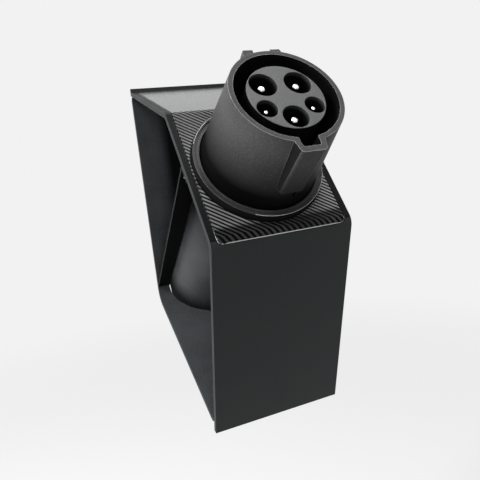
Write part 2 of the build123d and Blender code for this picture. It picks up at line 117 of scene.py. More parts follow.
def noise(tree, coords, size, detail):
    node = tree.nodes.new("ShaderNodeTexNoise")
    node.inputs["Scale"].default_value = 1 / (size * mm)
    node.inputs["Detail"].default_value = detail
    tree.links.new(coords, node.inputs["Vector"])
    return node.outputs["Fac"]


def splitVector(tree, vector):
    node = tree.nodes.new("ShaderNodeSeparateXYZ")
    tree.links.new(vector, node.inputs[0])
    return node.outputs


def addBump(tree, shader, height, depth):
    bump = tree.nodes.new("ShaderNodeBump")
    bump.inputs["Strength"].default_value = 1.0
    bump.inputs["Distance"].default_value = depth * mm
    tree.links.new(height, bump.inputs["Height"])
    tree.links.new(bump.outputs["Normal"], shader.inputs["Normal"])


# Studio: flat pale backdrop, soft lamps, pale floor under the dock, in metres and watts
studio = {
    "backdrop": 0.888,      # linear grey of the photograph's background
    "softLevel": 0.10,      # world light on the object
    "floorHeight": -0.40,
    "floorSize": 6.0,
    "floorNear": 0.35,      # the lit floor fades into the backdrop between these
    "floorFar": 1.1,
    "floorKept": 0.55,      # share of the lit floor and its shadow that shows under the dock
    "floorBounce": 0.30,    # grey of the floor as it lights the dock from below
    "lampsAim": (0, -0.07, -0.03),
}
lamps = {
    "keyLamp": {"place": (0.12, -0.30, 1.05), "size": 0.5, "power": 9.0},
    "leftLamp": {"place": (-0.85, -0.15, 0.75), "size": 0.3, "power": 11.0},
    "sideLamp": {"place": (-1.15, -0.12, 0.12), "size": 0.3, "power": 9.5},
    "frontLamp": {"place": (-0.23, -1.18, 0.06), "size": 0.12, "power": 2.5},
    "rightLamp": {"place": (1.05, -0.22, -0.10), "size": 0.3, "power": 0.9},
    "backLamp": {"place": (0.50, 0.85, 0.80), "size": 0.8, "power": 1.7},
}


def seenFactor(tree):
    # 1 for what the camera, a gloss or a clear material sees of the backdrop
    path = tree.nodes.new("ShaderNodeLightPath").outputs
    first = calc(tree, "MAXIMUM", path["Is Camera Ray"], path["Is Glossy Ray"])
    return calc(tree, "MAXIMUM", first, path["Is Transmission Ray"])


def makeWorld():
    world = bpy.data.worlds.new("paleStudio")
    world.use_nodes = True
    tree = world.node_tree
    tree.nodes.clear()
    soft = tree.nodes.new("ShaderNodeBackground")
    soft.inputs["Color"].default_value = (1, 1, 1, 1)
    soft.inputs["Strength"].default_value = studio["softLevel"]
    grey = (studio["backdrop"],) * 3
    seen = tree.nodes.new("ShaderNodeBackground")
    seen.inputs["Color"].default_value = (*grey, 1)
    mixShaders(tree, seenFactor(tree), soft, seen, tree.nodes.new("ShaderNodeOutputWorld"))
    bpy.context.scene.world = world


def makeFloorPaper():
    # Lit paper near the dock, the backdrop's own grey further out
    material = bpy.data.materials.new("floorPaper")
    material.use_nodes = True
    tree = material.node_tree
    tree.nodes.clear()
    grey = (studio["backdrop"],) * 3
    seen = seenFactor(tree)
    paper = tree.nodes.new("ShaderNodeBsdfDiffuse")
    color = mixColors(tree, seen, (studio["floorBounce"],) * 3, grey)
    tree.links.new(color, paper.inputs["Color"])
    far = tree.nodes.new("ShaderNodeEmission")
    far.inputs["Color"].default_value = (*grey, 1)
    reach = tree.nodes.new("ShaderNodeVectorMath")
    reach.operation = "LENGTH"
    tree.links.new(tree.nodes.new("ShaderNodeTexCoord").outputs["Object"], reach.inputs[0])
    near = 1 - studio["floorKept"]
    fade = spread(
        tree, reach.outputs["Value"], studio["floorNear"], studio["floorFar"], near, 1.0, smooth=True,
    )
    out = tree.nodes.new("ShaderNodeOutputMaterial")
    mixShaders(tree, calc(tree, "MULTIPLY", fade, seen), paper, far, out)
    return material


def makeFloor():
    bm = bmesh.new()
    bmesh.ops.create_grid(bm, x_segments=1, y_segments=1, size=studio["floorSize"] / 2)
    bmesh.ops.translate(bm, verts=bm.verts, vec=(0, 0, studio["floorHeight"]))
    mesh = bpy.data.meshes.new("paleFloor")
    bm.to_mesh(mesh)
    bm.free()
    mesh.materials.append(makeFloorPaper())
    floor = bpy.data.objects.new("paleFloor", mesh)
    bpy.context.scene.collection.objects.link(floor)


def makeLamps():
    for name, look in lamps.items():
        data = bpy.data.lights.new(name, "AREA")
        data.shape = "SQUARE"
        data.size = look["size"]
        data.energy = look["power"]
        lamp = bpy.data.objects.new(name, data)
        bpy.context.scene.collection.objects.link(lamp)
        away = Vector(look["place"]) - Vector(studio["lampsAim"])
        lamp.location = look["place"]
        lamp.rotation_mode = "QUATERNION"
        lamp.rotation_quaternion = away.to_track_quat("Z", "Y")


makeWorld()
makeFloor()
makeLamps()
bpy.context.scene.view_settings.view_transform = "Standard"
print("studio made")

# The dock's socket: the way of its axis, the way up the slope, the place where they meet,
# and how far along those ways that place lies, in mm
dockSocket = {
    "axis": (0, -0.7880, 0.6157),
    "up": (0, 0.6157, 0.7880),
    "middle": (0, -92.36, 3.14),
    "slope": 74.71,
    "rise": -54.39,
}

# Finishes: colours are linear, sizes in mm. Grain is the size of the fine bumps and depth their
# height, cloud how far broad patches get lighter and darker, edge and wear the rubbed edges,
# whose light colour is also a painted highlight. A pair of heights above the slope gives painted
# shade, darker from the first height to the second, shade is painted shadow by two bounds across
# the dock and up it, and keep is the share of the colour that is left there
finishes = {
    "coverPaint": {
        "color": (0.0135, 0.0152, 0.016), "rough": 0.5, "gloss": 0.22,
        "grain": 0.55, "depth": 0.012, "cloud": 0.18,
        "edge": (0.085, 0.09, 0.092), "edgeWidth": 0.35, "wearAndHighlight": 1.1,
    },
    "bracketPaint": {
        "color": (0.052, 0.056, 0.059), "rough": 0.6, "gloss": 0.03,
        "grain": 0.7, "depth": 0.02, "cloud": 0.2, "speckle": 0.4,
        "edge": (0.13, 0.133, 0.135), "edgeWidth": 0.3, "wearAndHighlight": 1.0,
    },
    # Near-black painted shade for the braces, with a painted highlight on their edges
    "braceShadedPaint": {
        "color": (0.004, 0.0042, 0.0044), "rough": 0.6, "gloss": 0.04,
        "grain": 0.6, "depth": 0.012, "cloud": 0.2,
        "edge": (0.22, 0.222, 0.225), "edgeWidth": 0.35, "wearAndHighlight": 1.3,
    },
    # The collar's light edge colour is a painted highlight
    "collarPlastic": {
        "color": (0.038, 0.038, 0.039), "rough": 0.45, "gloss": 0.12,
        "grain": 0.6, "depth": 0.015, "cloud": 0.15, "speckle": 0.4,
        "edge": (0.34, 0.34, 0.34), "edgeWidth": 0.22, "wearAndHighlight": 0.9,
    },
    # Painted shade towards the tube's foot in the hole, and painted shadow high up under the slope
    "tubePlastic": {
        "color": (0.056, 0.059, 0.061), "rough": 0.45, "gloss": 0.06,
        "grain": 0.45, "depth": 0.01, "cloud": 0.2,
        "edge": (0.1, 0.1, 0.1), "edgeWidth": 0.3, "wearAndHighlight": 0.7,
        "heightShade": (-96.0, -112.0), "heightShadeKeep": 0.12,
        "shade": ((-30.0, -28.0), (-44.0, -14.0)), "shadeKeep": 0.10,
    },
    # Painted shade towards the barrel's foot, and a light edge colour that is a painted highlight
    "barrelPlastic": {
        "color": (0.068, 0.068, 0.069), "rough": 0.5, "gloss": 0.03,
        "grain": 0.7, "depth": 0.03, "cloud": 0.12, "speckle": 0.5,
        "edge": (0.60, 0.60, 0.60), "edgeWidth": 0.35, "wearAndHighlight": 1.3,
        "heightShade": (37.0, 11.0), "heightShadeKeep": 0.02,
    },
    "bodyPlastic": {
        "color": (0.070, 0.070, 0.071), "rough": 0.5, "gloss": 0.1,
        "grain": 0.7, "depth": 0.02, "cloud": 0.15, "speckle": 0.4,
        "edge": (0.16, 0.16, 0.16), "edgeWidth": 0.3, "wearAndHighlight": 0.7,
    },
    "corePlastic": {
        "color": (0.064, 0.065, 0.066), "rough": 0.5, "gloss": 0.4,
        "grain": 0.7, "depth": 0.02, "cloud": 0.12, "speckle": 0.5,
        "edge": (0.2, 0.2, 0.2), "edgeWidth": 0.3, "wearAndHighlight": 0.75,
    },
    # Painted shade: a darker copy of the plastic for walls deep in the recesses, darker still below the
    # rim
    "deepWall": {
        "color": (0.040, 0.040, 0.041), "rough": 0.6, "gloss": 0.12,
        "grain": 0.28, "depth": 0.012, "cloud": 0.12,
        "edge": (0.09, 0.09, 0.09), "edgeWidth": 0.3, "wearAndHighlight": 0.5,
        "heightShade": (43.1, 41.4), "heightShadeKeep": 0.03,
    },
    # Near-black painted shade in the barrel's bore and key slot
    "boreWall": {
        "color": (0.004, 0.004, 0.004), "rough": 0.6, "gloss": 0.05,
        "grain": 0.5, "depth": 0.012, "cloud": 0.2,
        "edge": (0.02, 0.02, 0.02), "edgeWidth": 0.3, "wearAndHighlight": 0.5,
    },
    # Painted shade on the sides of the barrel's key, with a painted highlight on its edges
    "keyWall": {
        "color": (0.010, 0.010, 0.010), "rough": 0.6, "gloss": 0.03,
        "grain": 0.5, "depth": 0.012, "cloud": 0.2,
        "edge": (0.30, 0.30, 0.30), "edgeWidth": 0.25, "wearAndHighlight": 1.0,
    },
    # Near-black painted shade on the collar ring's outer side
    "ringSide": {
        "color": (0.006, 0.006, 0.0062), "rough": 0.6, "gloss": 0.03,
        "grain": 0.5, "depth": 0.01, "cloud": 0.15,
        "edge": (0.02, 0.02, 0.02), "edgeWidth": 0.2, "wearAndHighlight": 0.5,
    },
    # Painted highlight on parts of the collar ring's outer edge
    "ringPaintedGlint": {
        "color": (0.85, 0.85, 0.86), "rough": 0.35, "gloss": 0.5,
        "grain": 0.3, "depth": 0.002, "cloud": 0.1,
        "edge": (0.85, 0.85, 0.86), "edgeWidth": 0.2, "wearAndHighlight": 0.5,
    },
    # Painted highlight on the rim of the bracket's hole
    "holeRimPaintedHighlight": {
        "color": (0.16, 0.163, 0.166), "rough": 0.5, "gloss": 0.2,
        "grain": 0.5, "depth": 0.01, "cloud": 0.2,
        "edge": (0.45, 0.45, 0.45), "edgeWidth": 0.25, "wearAndHighlight": 1.2,
    },
    # Painted highlight on the face panel's rim
    "panelRimHighlight": {
        "color": (0.75, 0.75, 0.76), "rough": 0.3, "gloss": 0.5,
        "grain": 0.3, "depth": 0.004, "cloud": 0.15,
        "edge": (0.5, 0.5, 0.5), "edgeWidth": 0.2, "wearAndHighlight": 0.6,
    },
    "sealRubber": {
        "color": (0.015, 0.015, 0.016), "rough": 0.75, "gloss": 0.3,
        "grain": 0.4, "depth": 0.02, "cloud": 0.2,
        "edge": (0.04, 0.04, 0.04), "edgeWidth": 0.2, "wearAndHighlight": 0.5,
    },
    "bareSteel": {
        "color": (0.42, 0.42, 0.43), "rough": 0.34, "gloss": 0.5, "metal": 1.0,
        "grain": 0.2, "depth": 0.004, "cloud": 0.25,
        "edge": (0.62, 0.62, 0.63), "edgeWidth": 0.15, "wearAndHighlight": 0.75,
    },
    # Painted shade on the pins' sides below their tips
    "brightContact": {
        "color": (0.78, 0.78, 0.80), "rough": 0.22, "gloss": 0.5, "metal": 1.0,
        "grain": 0.2, "depth": 0.003, "cloud": 0.2,
        "edge": (0.9, 0.9, 0.9), "edgeWidth": 0.1, "wearAndHighlight": 0.5,
        "heightShade": (41.9, 41.6), "heightShadeKeep": 0.03,
    },
    "contactBrass": {
        "color": (0.62, 0.42, 0.16), "rough": 0.3, "gloss": 0.5, "metal": 1.0,
        "grain": 0.25, "depth": 0.004, "cloud": 0.25,
        "edge": (0.8, 0.6, 0.3), "edgeWidth": 0.12, "wearAndHighlight": 0.5,
    },
}
# Painted shade: a darker, duller copy of the cover paint
finishes["coverShadedBorder"] = {
    **finishes["coverPaint"], "color": (0.0045, 0.005, 0.0053), "gloss": 0.06,
}
# Painted shadow on the back plate's inner face, a copy of its paint
finishes["bracketShadedInside"] = {
    **finishes["bracketPaint"], "color": (0.050, 0.054, 0.057),
    "shade": ((-21.5, -16.0), (-70.0, -55.0)), "shadeKeep": 0.10,
}

# What all finishes share: sizes in mm, the part of each noise that is used, and how strongly
mottle = {
    "cloudSize": 14.0,
    "cloudDetail": 4.0,
    "grainDetail": 2.0,
    "noiseUsed": (0.3, 0.7),
    "speckUsed": (0.45, 0.7),
    "speckShare": 0.8,
    "speckle": 0.25,        # how much lighter a speck is, where the finish doesn't say
    "roughChange": 0.12,
}
# Rubbed edges: wear, and where the edge colour is light, a painted highlight
edgeWearAndHighlight = {
    "samples": 4,
    "bend": (0.99, 0.72),       # rounded against true normal, where wear starts and where it is full
    "patch": (0.35, 0.65),
    "patchLeast": 0.35,
}


def scaled(color, share):
    return tuple(part * share for part in color)


def newMaterial(name):
    material = bpy.data.materials.new(name)
    material.use_nodes = True
    tree = material.node_tree
    return material, tree, tree.nodes["Principled BSDF"]


def socketHeight(tree, coords):
    along = tree.nodes.new("ShaderNodeVectorMath")
    along.operation = "DOT_PRODUCT"
    along.inputs[1].default_value = [part / mm for part in dockSocket["axis"]]
    tree.links.new(coords, along.inputs[0])
    return calc(tree, "SUBTRACT", along.outputs["Value"], dockSocket["slope"])


def deepShade(tree, coords, look):
    # Painted shadow, which grows past the two bounds, across the dock and up it
    split = splitVector(tree, coords)
    shares = [
        spread(tree, split[axis], low * mm, high * mm, 0.0, 1.0)
        for axis, (low, high) in zip(("X", "Z"), look["shade"])
    ]
    return calc(tree, "MULTIPLY", calc(tree, "MULTIPLY", *shares), 1 - look["shadeKeep"])


def wearAndHighlightEdge(tree, look, cloud):
    # Where the rounded normal leaves the true one there is an edge, rubbed a little unevenly; its light
    # colour is partly wear and partly painted highlight
    rounded = tree.nodes.new("ShaderNodeBevel")
    rounded.samples = edgeWearAndHighlight["samples"]
    rounded.inputs["Radius"].default_value = look["edgeWidth"] * mm
    true = tree.nodes.new("ShaderNodeNewGeometry")
    dot = tree.nodes.new("ShaderNodeVectorMath")
    dot.operation = "DOT_PRODUCT"
    tree.links.new(rounded.outputs["Normal"], dot.inputs[0])
    tree.links.new(true.outputs["Normal"], dot.inputs[1])
    rubAndHighlight = spread(tree, dot.outputs["Value"], *edgeWearAndHighlight["bend"], 0.0, 1.0)
    patch = spread(tree, cloud, *edgeWearAndHighlight["patch"], edgeWearAndHighlight["patchLeast"], 1.0)
    return calc(tree, "MULTIPLY", calc(tree, "MULTIPLY", rubAndHighlight, patch), look["wearAndHighlight"], clamp=True)


def makeFinish(name, look):
    material, tree, shader = newMaterial(name)
    coords = tree.nodes.new("ShaderNodeTexCoord").outputs["Object"]
    cloud = noise(tree, coords, mottle["cloudSize"], mottle["cloudDetail"])
    grain = noise(tree, coords, look["grain"], mottle["grainDetail"])
    darker = scaled(look["color"], 1 - look["cloud"])
    lighter = scaled(look["color"], 1 + look["cloud"])
    bright = scaled(look["color"], 1 + look.get("speckle", mottle["speckle"]))
    color = mixColors(tree, spread(tree, cloud, *mottle["noiseUsed"], 0.0, 1.0), darker, lighter)
    speck = spread(tree, grain, *mottle["speckUsed"], 0.0, mottle["speckShare"])
    color = mixColors(tree, speck, color, bright)
    color = mixColors(tree, wearAndHighlightEdge(tree, look, cloud), color, look["edge"])
    # Painted shade: darker from the first height above the slope to the second
    if "heightShade" in look:
        heightShadeShare = spread(tree, socketHeight(tree, coords), *look["heightShade"], 0.0, 1 - look["heightShadeKeep"])
        color = mixColors(tree, heightShadeShare, color, black)
    # Painted shadow between the bounds across the dock and up it
    if "shade" in look:
        color = mixColors(tree, deepShade(tree, coords, look), color, black)
    tree.links.new(color, shader.inputs["Base Color"])
    smooth = look["rough"] * (1 - mottle["roughChange"])
    coarse = look["rough"] * (1 + mottle["roughChange"])
    rough = spread(tree, cloud, *mottle["noiseUsed"], smooth, coarse)
    tree.links.new(rough, shader.inputs["Roughness"])
    shader.inputs["Metallic"].default_value = look.get("metal", 0.0)
    shader.inputs["Specular IOR Level"].default_value = look["gloss"]
    addBump(tree, shader, grain, look["depth"])
    return material


finish = {name: makeFinish(name, look) for name, look in finishes.items()}

# Face panel film: plain on the ledge, slanting light and dark lines from the fold down, in mm
# across and along the flat panel
panelFilm = {
    "plain": (0.040, 0.0415, 0.043),
    "lineDark": (0.005, 0.0052, 0.0055),
    "lineLight": (0.340, 0.342, 0.346),
    "linesFrom": 71.6,
    "linesBlend": 0.1,
    "pitch": 1.75,
    "slant": 38.0,
    "lineRise": (0.02, 0.12),       # both sides of a light line, in shares of the pitch
    "lineFall": (0.50, 0.60),
    # Painted shade: the lines are darker high on the slope, low on its left and in the last bend
    "top": (82.0, 122.0),       # the lines are darker high on the slope
    "topShade": 0.50,
    "left": (-14.0, -28.0),     # and low on its left
    "leftLow": (112.0, 128.0),
    "leftShade": 0.34,
    "bend": (137.6, 139.6),     # and darkest in the last bend
    "bendShadeKeep": 0.18,
    "cloud": (0.02, 0.02, 0.021),
    "cloudSize": 16.0,
    "cloudDetail": 4.0,
    "cloudShare": 0.25,
    "dustSize": 0.6,
    "dustDetail": 3.0,
    "dustDepth": 0.006,
    "edge": (0.06, 0.06, 0.06),
    "edgeWidth": 0.25,
    "wearAndHighlight": 0.8,
    "rough": (0.208, 0.325),
    "gloss": 0.12,
    "linesGloss": 0.035,
}


def lineWay():
    # Square to the lines on the flat panel
    slant = math.radians(panelFilm["slant"])
    return Vector((-math.sin(slant), math.cos(slant), 0))


def lightLine(tree, across, along):
    # 1 on a light line and 0 on a dark one
    way = lineWay() / panelFilm["pitch"]
    turn = calc(tree, "MULTIPLY_ADD", along, way.y, calc(tree, "MULTIPLY", across, way.x))
    turn = calc(tree, "FRACT", turn)
    rise = spread(tree, turn, *panelFilm["lineRise"], 0.0, 1.0)
    fall = spread(tree, turn, *panelFilm["lineFall"], 1.0, 0.0)
    return calc(tree, "MULTIPLY", rise, fall)


def panelShades(tree, across, along, below):
    # Shares of black for painted shade: high on the slope, low on its left, in the last bend
    high = spread(tree, along, *panelFilm["top"], panelFilm["topShade"], 0.0)
    left = spread(tree, across, *panelFilm["left"], 0.0, panelFilm["leftShade"])
    low = spread(tree, along, *panelFilm["leftLow"], 0.0, 1.0)
    bend = spread(tree, along, *panelFilm["bend"], 0.0, 1 - panelFilm["bendShadeKeep"])
    return calc(tree, "MULTIPLY", below, high), calc(tree, "MULTIPLY", low, left), bend


def makePanelFilm(name, gloss):
    look = panelFilm
    material, tree, shader = newMaterial(name)
    coords = tree.nodes.new("ShaderNodeTexCoord").outputs["Object"]
    flat = tree.nodes.new("ShaderNodeAttribute")
    flat.attribute_name = "panelFlat"
    split = splitVector(tree, flat.outputs["Vector"])
    across, along = split["X"], split["Y"]
    lines = mixColors(tree, lightLine(tree, across, along), look["lineDark"], look["lineLight"])
    start = look["linesFrom"]
    below = spread(tree, along, start - look["linesBlend"], start + look["linesBlend"], 0.0, 1.0)
    cloud = noise(tree, coords, look["cloudSize"], look["cloudDetail"])
    dust = noise(tree, coords, look["dustSize"], look["dustDetail"])
    clouded = spread(tree, cloud, *mottle["noiseUsed"], 0.0, look["cloudShare"])
    color = mixColors(tree, clouded, mixColors(tree, below, look["plain"], lines), look["cloud"])
    for shade in panelShades(tree, across, along, below):
        color = mixColors(tree, shade, color, black)
    color = mixColors(tree, wearAndHighlightEdge(tree, look, cloud), color, look["edge"])
    tree.links.new(color, shader.inputs["Base Color"])
    rough = spread(tree, dust, *mottle["noiseUsed"], *look["rough"])
    tree.links.new(rough, shader.inputs["Roughness"])
    shader.inputs["Specular IOR Level"].default_value = gloss
    addBump(tree, shader, dust, look["dustDepth"])
    return material


finish["panelFilm"] = makePanelFilm("panelFilm", panelFilm["gloss"])
finish["panelLines"] = makePanelFilm("panelLines", panelFilm["linesGloss"])
print("finishes made,", len(finish))

# Edges of the pieces, in degrees and mm
rounding = {
    "corner": 38.0,     # sharper edges are rounded
    "soft": 32.0,       # flatter edges are shaded smoothly
    "flat": 0.5,        # triangles that lie as flat as this become one face
    "merge": 0.002,     # points as near as this become one
    "segments": 2,
}


def showPiece(name, bm, finishNames):
    for face in bm.faces:
        face.smooth = True
    soft = math.radians(rounding["soft"])
    for edge in bm.edges:
        edge.smooth = len(edge.link_faces) == 2 and edge.calc_face_angle() < soft
    openEdges = [edge for edge in bm.edges if len(edge.link_faces) != 2]
    print(name, "made,", len(bm.faces), "faces,", len(openEdges), "open edges")
    mesh = bpy.data.meshes.new(name)
    bm.to_mesh(mesh)
    bm.free()
    for finishName in finishNames:
        mesh.materials.append(finish[finishName])
    piece = bpy.data.objects.new(name, mesh)
    bpy.context.scene.collection.objects.link(piece)
    even = piece.modifiers.new("evenNormals", "WEIGHTED_NORMAL")    # flat faces stay flat
    even.keep_sharp = True
    even.weight = 50
    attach(piece, "root")
    return piece


def dressFaces(piece, choose):
    # Faces for which choose gives the name of a finish get it in a further material slot
    slots = {}
    for face in piece.data.polygons:
        name = choose(face)
        if name is None:
            continue
        if name not in slots:
            slots[name] = len(piece.data.materials)
            piece.data.materials.append(finish[name])
        face.material_index = slots[name]


def socketSpot(point):
    # Across, up the slope and above it, from the middle of the socket, in mm
    spot = point / mm
    up = spot.dot(Vector(dockSocket["up"])) - dockSocket["rise"]
    return spot.x, up, spot.dot(Vector(dockSocket["axis"])) - dockSocket["slope"]


# Inner walls of the barrel and the core, which get painted shade, in mm from the socket's axis and above
# the slope
innerWalls = {
    "top": 43.0,
    "bore": 22.4,
    "core": 16.6,
    "slotHalfWidth": 4.7,
    "slotReach": 26.5,
    "keyHalfWidth": 7.2,
    "keyReach": 25.0,
    "keyFoot": 18.2,
    "sideways": 0.9,        # least part of a face's normal across the dock
}


# Painted shade on the core's recesses, the bore, the key slot and the key's sides
def wallFinish(face):
    across, up, height = socketSpot(face.center)
    reach = math.hypot(across, up)
    if height > innerWalls["top"]:
        return None
    if reach < innerWalls["core"]:
        return "deepWall"
    inSlot = abs(across) < innerWalls["slotHalfWidth"] and up < 0 and reach < innerWalls["slotReach"]
    if reach < innerWalls["bore"] or inSlot:
        return "boreWall"
    inKey = abs(across) < innerWalls["keyHalfWidth"] and up < 0 and reach > innerWalls["keyReach"]
    onSide = height > innerWalls["keyFoot"] and abs(face.normal.x) > innerWalls["sideways"]
    return "keyWall" if inKey and onSide else None


# Outer side and edge of the collar ring, which get painted shade and painted highlights, in mm and in
# degrees round it from the right
ringSides = {
    "reach": 30.6,
    "edgeFrom": 3.6,
    "paintedGlints": ((116.0, 154.0), (247.0, 342.0)),
}


# Painted shade on the ring's outer side, painted highlight on parts of its edge
def ringFinish(face):
    across, up, height = socketSpot(face.center)
    if math.hypot(across, up) < ringSides["reach"]:
        return None
    if height < ringSides["edgeFrom"]:
        return "ringSide"
    turn = math.degrees(math.atan2(up, across)) % 360
    return "ringPaintedGlint" if any(low < turn < high for low, high in ringSides["paintedGlints"]) else None


# The bracket: mm from the socket's axis to its hole, the largest face of the hole's rim in mm2,
# which gets a painted highlight, and how squarely its inner side faces the front, which gets
# painted shadow
bracketSides = {"reach": 28.3, "faceArea": 14.0, "forward": 0.9}


def bracketFinish(face):
    nearHole = math.hypot(*socketSpot(face.center)[:2]) < bracketSides["reach"]
    if nearHole and face.area / mm ** 2 < bracketSides["faceArea"]:
        return "holeRimPaintedHighlight"
    return "bracketShadedInside" if face.normal.y < -bracketSides["forward"] else None


# Folded line that the panel follows, in the side view: y back to the wall, z up, in mm and degrees
foldPath = {
    "back": (0.0, 50.0),
    "drops": (15.0, 52.0, 105.0),
    "runs": (73.0, 73.0, 200.0),
    "radii": (5.0, 6.5),
}
# Painted shade on the faces of the cover that look out of the ledge or the slope
coverShadedBorder = {"facing": 0.97}      # how squarely a face looks out of the ledge or the slope


def outward(drop):
    return Vector((-math.sin(math.radians(drop)), math.cos(math.radians(drop))))


def borderShadeFinish(face):
    ways = (Vector(dockSocket["axis"]), Vector((0, *outward(foldPath["drops"][0]))))
    return "coverShadedBorder" if any(face.normal.dot(way) > coverShadedBorder["facing"] for way in ways) else None


# Pieces copied from their CAD nodes, with their edges rounded by so many mm
roundedNodes = {
    "front_cover": {"edge": 0.3, "finish": "coverPaint", "parts": borderShadeFinish, "slot": "cover_paint"},
    "rear_bracket": {
        "edge": 0.14, "finish": "bracketPaint", "parts": bracketFinish, "slot": "bracket_paint",
    },
    "brace_left": {"edge": 0.2, "finish": "braceShadedPaint", "slot": "bracket_paint"},
    "brace_right": {"edge": 0.2, "finish": "braceShadedPaint", "slot": "bracket_paint"},
    "collar_ring": {
        "edge": 0.25, "finish": "collarPlastic", "parts": ringFinish, "slot": "collar_plastic",
    },
    "holder_tube": {"edge": 0.3, "finish": "tubePlastic", "slot": "tube_plastic"},
    "adapter_shell": {
        "edge": 0.3, "finish": "barrelPlastic", "parts": wallFinish, "slot": "barrel_plastic",
    },
}


def roundNode(node, look):
    bm = bmesh.new()
    bm.from_mesh(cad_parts[node].data)
    bmesh.ops.remove_doubles(bm, verts=bm.verts, dist=rounding["merge"] * mm)
    flat = math.radians(rounding["flat"])
    bmesh.ops.dissolve_limit(bm, angle_limit=flat, verts=bm.verts, edges=bm.edges)
    bmesh.ops.recalc_face_normals(bm, faces=bm.faces)
    corner = math.radians(rounding["corner"])
    corners = [e for e in bm.edges if len(e.link_faces) == 2 and e.calc_face_angle() > corner]
    bmesh.ops.bevel(
        bm, geom=corners, offset=look["edge"] * mm, offset_type="OFFSET",
        segments=rounding["segments"], profile=0.5, affect="EDGES", material=-1, clamp_overlap=True,
    )
    piece = showPiece(node + ".rounded", bm, (look["finish"],))
    if "parts" in look:
        dressFaces(piece, look["parts"])
    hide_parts(node)


for node, look in roundedNodes.items():
    roundNode(node, look)
print("nodes rounded,", len(roundedNodes))

# Core of the inlet: across, up the slope and radius of each recess, heights above the slope, in mm
inletCore = {
    "radius": 16.75,
    "top": 43.8,
    "foot": 18.0,
    "segments": 96,
    "edge": 0.14,
    "edgeSteps": ((0.134, 0.5), (0.366, 0.366), (0.5, 0.134)),     # inward and up, in shares of the edge
    "recesses": (
        (-7.85, 6.8, 6.0), (7.85, 6.8, 6.0), (0.0, -10.6, 5.6), (-10.65, -5.6, 4.4), (10.65, -5.6, 4.4),
    ),
}


def makeInletCore():
    look = inletCore
    bm = bmesh.new()
    for across, up, radius in ((0, 0, look["radius"]), *look["recesses"]):
        place = Matrix.Translation((across, up, look["foot"]))
        bmesh.ops.create_circle(
            bm, cap_ends=False, segments=look["segments"], radius=radius, matrix=place,
        )
    bmesh.ops.triangle_fill(
        bm, use_beauty=True, use_dissolve=False, edges=bm.edges[:], normal=(0, 0, 1),
    )
    made = bmesh.ops.extrude_face_region(bm, geom=bm.faces[:])
    raised = [v for v in made["geom"] if isinstance(v, bmesh.types.BMVert)]
    rise = look["top"] - look["foot"] - look["edge"]
    bmesh.ops.translate(bm, verts=raised, vec=(0, 0, rise))
    bmesh.ops.recalc_face_normals(bm, faces=bm.faces)
    top = [f for f in made["geom"] if isinstance(f, bmesh.types.BMFace)]
    for inward, up in look["edgeSteps"]:
        bmesh.ops.inset_region(
            bm, faces=top, thickness=inward * look["edge"], depth=up * look["edge"],
            use_even_offset=True,
        )
    turn = Matrix(((1, 0, 0), dockSocket["up"], dockSocket["axis"])).transposed().to_4x4()
    place = Matrix.Scale(mm, 4) @ Matrix.Translation(dockSocket["middle"]) @ turn
    bmesh.ops.transform(bm, matrix=place, verts=bm.verts)
    piece = showPiece("inlet_core.rounded", bm, ("corePlastic",))
    dressFaces(piece, wallFinish)
    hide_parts("inlet_core")


makeInletCore()

# Face panel, modelled flat in mm and then laid on the folded line
facePanel = {
    "halfWidth": 31.75,
    "start": 3.4,
    "end": 146.16,
    "corner": 1.6,
    "footCorner": 2.6,
    "cornerSegments": 6,
    "thickness": 1.2,
    "holeRadius": 31.6,
    "holeAlong": 108.38,
    "holeSegments": 180,
    "foldAlong": ((71.33, 74.56), (142.64, 148.65)),
    "foldSteps": 10,
    "bendStretch": 0.45,    # the lines run steeper in the last bend
    "ridgeDepth": 0.12,
    "ridgeSide": 0.12,      # in shares of the lines' pitch
    "ridgeTop": 0.5,
    "rim": 0.45,
    "rimDrop": 0.3,
    # The painted highlight on the rim starts here
    "highlightFrom": 139.0,       # the bright rim starts here
}
panelFinishes = ("panelFilm", "panelRimHighlight", "panelLines")


def bendPoint(across, along, up):
    # A point of the flat panel, across it, along it and up from its face, on the folded line
    drops, runs, radii = foldPath["drops"], foldPath["runs"], foldPath["radii"]
    spot = Vector(foldPath["back"])
    trimBefore = 0.0
    for index, drop in enumerate(drops):
        out = outward(drop)
        way = Vector((-out.y, out.x))
        last = index == len(radii)
        turn = 0.0 if last else math.radians(drops[index + 1] - drop)
        radius = 0.0 if last else radii[index]
        trim = radius * math.tan(turn / 2)
        run = runs[index] - trimBefore - trim
        if last or along <= run:
            spot = spot + way * along + out * up
            break
        along -= run
        center = spot + way * run - out * radius
        if along <= radius * turn:
            spot = center + outward(drop + math.degrees(along / radius)) * (radius + up)
            break
        along -= radius * turn
        spot = center + outward(drops[index + 1]) * radius
        trimBefore = trim
    return Vector((across, spot.x, spot.y)) * mm


def patternAlong(along):
    # Where the pattern is at this place along the panel
    bend = facePanel["foldAlong"][1][0]
    return along if along < bend else bend + (along - bend) * facePanel["bendStretch"]


def ridgeHeight(spot):
    # 1 on top of a ridge, 0 between ridges
    way = lineWay()
    side = facePanel["ridgeSide"]
    turn = (way.x * spot.x + way.y * patternAlong(spot.y)) / panelFilm["pitch"] % 1
    return max(min(turn / side, (facePanel["ridgeTop"] + side - turn) / side, 1), 0)


def cutAcross(bm, spot, normal, fromAlong, toAlong=math.inf):
    faces = [f for f in bm.faces if fromAlong < f.calc_center_median().y < toAlong]
    edges = {e for f in faces for e in f.edges}
    verts = {v for f in faces for v in f.verts}
    bmesh.ops.bisect_plane(
        bm, geom=[*verts, *edges, *faces], dist=nearly, plane_co=spot, plane_no=normal,
    )


